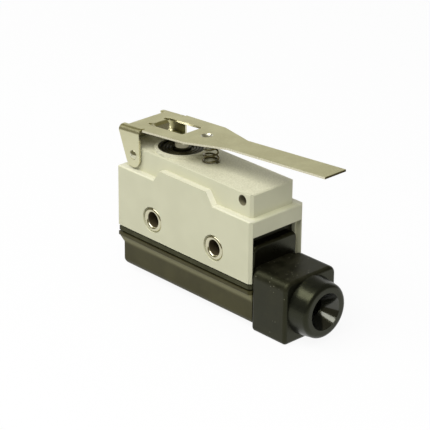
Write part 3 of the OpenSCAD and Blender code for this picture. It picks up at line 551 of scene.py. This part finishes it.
# The terminal base's plastic
PHENOLIC_TONES = (screen(62, 44, 33), screen(96, 74, 58))
PHENOLIC_GRAIN = {"scale": 1600, "detail": 4}
PHENOLIC_BAND = (0.55, 0.75)
PHENOLIC_ROUGHNESS = (0.5, 0.6)


def brown_phenolic():
    """Dark brown insulating plastic with a speckle."""
    material, start = blank("brown_phenolic")
    speck = ramp(start, grain(start, **PHENOLIC_GRAIN), *PHENOLIC_BAND)
    return finish(material, mixed(start, *PHENOLIC_TONES, speck), blend(*PHENOLIC_ROUGHNESS, speck))


# What each material slot is made of, and the finishes of the lever's cut edges and its pin
FINISHES = {
    "case_plastic": moulded_grey(),
    "bush_metal": bush_nickel(),
    "plunger_plastic": cream_plastic(),
    "guide_brass": rolled_strip("turned_brass", screen(168, 130, 68), screen(196, 158, 92)),
    "boot_rubber": matte_rubber("boot_rubber", screen(14, 13, 10), screen(24, 23, 19),
                                dullness=0.3, gloss=0.5),
    "lever_steel": ground_steel(),
    "spring_steel": bright_metal("spring_wire", screen(94, 88, 68), screen(124, 117, 93), polish=0.14),
    "blade_copper": rolled_strip("blade_copper", screen(178, 122, 70), screen(204, 150, 96)),
    "contact_silver": rolled_strip("contact_silver", screen(196, 196, 190), screen(218, 218, 212)),
    "terminal_brass": rolled_strip("terminal_brass", screen(178, 146, 70), screen(206, 176, 100)),
    "base_plastic": brown_phenolic(),
    "screw_steel": rolled_strip("plated_steel", screen(170, 170, 162), screen(196, 196, 188)),
    "gasket_rubber": matte_rubber("gasket_rubber", screen(60, 60, 44), screen(72, 72, 54),
                                  dullness=0.7, gloss=0.08),
    "cover_plastic": brown_black_plastic(),
    "cap_rubber": cap_rubber(),
}
CUT_EDGES = sheared_steel()
POLISHED_PIN = bright_metal("polished_pin", screen(200, 197, 168), screen(222, 220, 196), polish=0.08)


def dress(piece, slot, finish_used=None):
    """Gives a piece the finish of a material slot, or its own finish on that slot."""
    piece.data.materials.clear()
    piece.data.materials.append(finish_used or FINISHES[slot])


def settle(piece):
    """Turns a piece and its modifiers into a plain mesh."""
    graph = bpy.context.evaluated_depsgraph_get()
    mesh = bpy.data.meshes.new_from_object(piece.evaluated_get(graph), depsgraph=graph)
    piece.modifiers.clear()
    piece.data = mesh


# Rounding of the moulded and stamped edges: lengths in millimetres, angles in degrees
MERGE = 0.0005
FLAT_ANGLE = 0.6
EDGE_ANGLE = 28
EDGE_STEPS = 3
FLAT_WEIGHT = 100
EDGE_RADII = {"case": 0.25, "mounting_bush_left": 0, "mounting_bush_right": 0, "plunger": 0.1,
              "plunger_boot": 0.06, "hinge_lever": 0.1, "hinge_pin": 0.03, "cover_gasket": 0.08,
              "terminal_cover": 0.15, "cable_cap": 0.3}

# Where the lever's ears end, in millimetres, and how far a cut edge may lean
EAR_FRONT = -19.1
EAR_TOP = 23
EDGE_LEAN = 0.3


def sheet_edge(face):
    """Whether a face of the lever is a cut edge of its sheet, by its place and direction."""
    upright = Vector((-math.sin(LEVER_TILT), 0, math.cos(LEVER_TILT)))
    middle = face.calc_center_median() / MM
    if middle.x > LEVER_TIP - SHEARED:
        return False
    if abs(middle.y) > EAR_SIDE[0] and middle.x < EAR_FRONT:
        return abs(face.normal.y) < EDGE_LEAN and middle.z < EAR_TOP
    return middle.x > EAR_FRONT and abs(face.normal.dot(upright)) < EDGE_LEAN


def softened(node, radius):
    """A copy of a dressed CAD node with its edges rounded, or only its shading where the radius is zero."""
    mesh = NODES[node].data.copy()
    cut_from_sheet = node == "hinge_lever"
    if cut_from_sheet:
        mesh.materials.append(CUT_EDGES)
    work = bmesh.new()
    work.from_mesh(mesh)
    bmesh.ops.remove_doubles(work, verts=work.verts, dist=MERGE * MM)
    if radius:
        bmesh.ops.dissolve_limit(work, angle_limit=math.radians(FLAT_ANGLE), verts=work.verts,
                                 edges=work.edges)
    work.normal_update()
    for face in work.faces:
        face.smooth = True
        face.material_index = 1 if cut_from_sheet and sheet_edge(face) else 0
    work.to_mesh(mesh)
    work.free()
    piece = stand(bpy.data.objects.new(node + "_piece", mesh))
    if radius:
        bevel = piece.modifiers.new("edges", "BEVEL")
        bevel.width = radius * MM
        bevel.segments = EDGE_STEPS
        bevel.limit_method = "ANGLE"
        bevel.angle_limit = math.radians(EDGE_ANGLE)
    piece.modifiers.new("flats", "WEIGHTED_NORMAL").weight = FLAT_WEIGHT
    settle(piece)
    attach(piece, BODY_OF[node])
    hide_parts(node)


def grown(name, slot, body, grow, sizes):
    """A piece that Geometry Nodes make from named sizes, as a plain mesh on a body."""
    tree = bpy.data.node_groups.new(name, "GeometryNodeTree")
    tree.interface.new_socket("Geometry", in_out="OUTPUT", socket_type="NodeSocketGeometry")
    kinds = {int: "NodeSocketInt", float: "NodeSocketFloat"}
    sockets = {label: tree.interface.new_socket(label, in_out="INPUT", socket_type=kinds[type(value)])
               for label, value in sizes.items()}
    start = Link(tree)
    solid = grow(start, **{label: start.node("NodeGroupInput", output=label) for label in sizes})
    smooth = start.node("GeometryNodeSetShadeSmooth", inputs={"Geometry": solid})
    real = start.node("GeometryNodeRealizeInstances", inputs={"Geometry": smooth})
    painted = start.node("GeometryNodeSetMaterial", inputs={"Geometry": real, "Material": FINISHES[slot]})
    start.node("NodeGroupOutput", inputs={0: painted})
    piece = stand(bpy.data.objects.new(name, bpy.data.meshes.new(name)))
    modifier = piece.modifiers.new("grow", "NODES")
    modifier.node_group = tree
    for label, value in sizes.items():
        modifier[sockets[label].identifier] = value
    settle(piece)
    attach(piece, body)
    return piece


# The lever spring: diameters in millimetres, turns, facets of its wire, and the share of height it keeps
SPRING_FOOT = 5.3
SPRING_HEAD = 3.8
SPRING_WIRE = 0.55
SPRING_TURNS = 4.5
SPRING_FLAT_TURNS = 0.7
SPRING_STEPS = 160
SPRING_SIDES = 14


def coil(start, middle, foot, head, wire, turns, flat, low, high, steps, sides):
    """A round wire along a coil that narrows upwards, with flat end turns."""
    line = start.node("GeometryNodeCurvePrimitiveLine")
    path = start.node("GeometryNodeResampleCurve", {"mode": "COUNT"}, {"Curve": line, "Count": steps})
    along = start.node("GeometryNodeSplineParameter", output="Factor")
    turn = along * turns
    angle = turn * math.tau
    rise = start.math("MINIMUM", start.math("MAXIMUM", (turn - flat) / (turns - 2 * flat), 0), 1)
    radius = (blend(foot, head, along) - wire) / 2
    place = start.node("ShaderNodeCombineXYZ", inputs={
        "X": middle + radius * start.math("COSINE", angle),
        "Y": radius * start.math("SINE", angle),
        "Z": low + wire / 2 + rise * (high - low - wire)})
    wound = start.node("GeometryNodeSetPosition", inputs={"Geometry": path, "Position": place})
    ring = start.node("GeometryNodeCurvePrimitiveCircle", inputs={"Resolution": sides, "Radius": wire / 2})
    return start.node("GeometryNodeCurveToMesh",
                      inputs={"Curve": wound, "Profile Curve": ring, "Fill Caps": True})


def make_spring():
    """The lever spring, which the lever presses as it comes down, as a fixed coil of wire on the housing."""
    low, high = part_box("lever_spring")
    piece = grown("lever_spring_wire", "spring_steel", "housing", coil, {
        "middle": (low.x + high.x) / 2, "foot": SPRING_FOOT * MM, "head": SPRING_HEAD * MM,
        "wire": SPRING_WIRE * MM, "turns": SPRING_TURNS, "flat": SPRING_FLAT_TURNS, "low": low.z,
        "high": high.z, "steps": SPRING_STEPS, "sides": SPRING_SIDES})
    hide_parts("lever_spring")
    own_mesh(piece)


# Stage: a white board, a pale floor, a white wall and one broad lamp, in metres, degrees and watts
FLOOR_HALF = 4
FLOOR_GLOW = 0.92
FLOOR_GREY = (0.36, 0.36, 0.36, 1)
FLOOR_PALE = (0.7, 0.7, 0.7, 1)
BOARD_EDGE = (0.14, 0.22)
AMBIENT = 0.64
WALL_FAR = 1.5
WALL_TOP = 0.7
WALL_START = 81
WALL_SWEEP = 110
WALL_SIDES = 16
ROOM = (0.2, 0.185, 0.125, 1)
WHITE = (1, 1, 1, 1)
LAMP_PLACE = (0.0, -0.36, 0.595)
LAMP_SIZE = (0.96, 0.36)
LAMP_POWER = 5.4


def sheet(name, corners, faces):
    """A bare piece of the stage and the start of its material."""
    mesh = bpy.data.meshes.new(name)
    mesh.from_pydata(corners, [], faces)
    made = stand(bpy.data.objects.new(name, mesh))
    material, start = blank(name)
    material.node_tree.nodes.clear()
    mesh.materials.append(material)
    return start


def layered(start, under, over, share):
    """A shader between two shaders."""
    return start.node("ShaderNodeMixShader", inputs=dict(enumerate((share, under, over))))


def light_path(start, *kinds):
    """One where the ray is of one of these kinds, and zero elsewhere."""
    share = sum(start.node("ShaderNodeLightPath", output=kind) for kind in kinds)
    return start.math("MINIMUM", share, 1)


def make_floor():
    """A floor that is white to the eye; shiny faces see it white near the object and dim far off."""
    level = cad_box[0].z
    corners = [(x * FLOOR_HALF, y * FLOOR_HALF, level) for x, y in ((-1, -1), (1, -1), (1, 1), (-1, 1))]
    start = sheet("floor", corners, [(0, 1, 2, 3)])
    place = start.node("ShaderNodeTexCoord", output="Object")
    away = start.node("ShaderNodeVectorMath", {"operation": "LENGTH"}, {0: place}, "Value")
    mirrored = mixed(start, WHITE, ROOM, ramp(start, away, *BOARD_EDGE))
    eye = light_path(start, "Is Camera Ray", "Is Transmission Ray")
    seen = mixed(start, mirrored, WHITE, eye)
    glow = start.node("ShaderNodeEmission", inputs={"Color": seen, "Strength": 1})
    matte = start.node("ShaderNodeBsdfDiffuse", inputs={"Color": mixed(start, FLOOR_GREY, FLOOR_PALE, eye)})
    share = light_path(start, "Is Camera Ray", "Is Glossy Ray", "Is Transmission Ray") * FLOOR_GLOW
    start.node("ShaderNodeOutputMaterial", inputs={"Surface": layered(start, matte, glow, share)})


def make_wall():
    """A white wall behind the object, out of the picture, that the metal mirrors."""
    turns = [math.radians(WALL_START + WALL_SWEEP * i / WALL_SIDES) for i in range(WALL_SIDES + 1)]
    corners = [(WALL_FAR * math.cos(turn), WALL_FAR * math.sin(turn), level)
               for level in (cad_box[0].z, WALL_TOP) for turn in turns]
    row = len(turns)
    start = sheet("wall", corners, [(i, i + 1, row + i + 1, row + i) for i in range(WALL_SIDES)])
    light = start.node("ShaderNodeEmission", inputs={"Color": WHITE, "Strength": AMBIENT})
    white = start.node("ShaderNodeEmission", inputs={"Color": WHITE, "Strength": 1})
    share = light_path(start, "Is Camera Ray", "Is Glossy Ray", "Is Transmission Ray")
    start.node("ShaderNodeOutputMaterial", inputs={"Surface": layered(start, light, white, share)})


def make_world():
    """White behind the object, an even light on it, and a dim room in its shiny faces."""
    world = bpy.data.worlds.new("studio")
    world.use_nodes = True
    bpy.context.scene.world = world
    world.node_tree.nodes.clear()
    start = Link(world.node_tree)
    light = start.node("ShaderNodeBackground", inputs={"Color": WHITE, "Strength": AMBIENT})
    room = start.node("ShaderNodeBackground", inputs={"Color": ROOM, "Strength": 1})
    white = start.node("ShaderNodeBackground", inputs={"Color": WHITE, "Strength": 1})
    lit = layered(start, light, room, light_path(start, "Is Glossy Ray"))
    eye = light_path(start, "Is Camera Ray", "Is Transmission Ray")
    start.node("ShaderNodeOutputWorld", inputs={"Surface": layered(start, lit, white, eye)})


def make_lamp():
    """A broad soft lamp in front of the object, aimed at its middle."""
    lamp = bpy.data.lights.new("key_lamp", "AREA")
    lamp.shape = "RECTANGLE"
    lamp.size, lamp.size_y = LAMP_SIZE
    lamp.energy = LAMP_POWER
    holder = stand(bpy.data.objects.new("key_lamp", lamp))
    holder.location = LAMP_PLACE
    holder.rotation_euler = (-Vector(LAMP_PLACE)).to_track_quat("-Z", "Y").to_euler()


for node, piece in NODES.items():
    dress(piece, SLOT_OF[node])
dress(NODES["hinge_pin"], "lever_steel", POLISHED_PIN)
for node, radius in EDGE_RADII.items():
    softened(node, radius)
make_spring()

set_camera()
make_floor()
make_wall()
make_world()
make_lamp()

bpy.context.scene.view_settings.view_transform = "Standard"
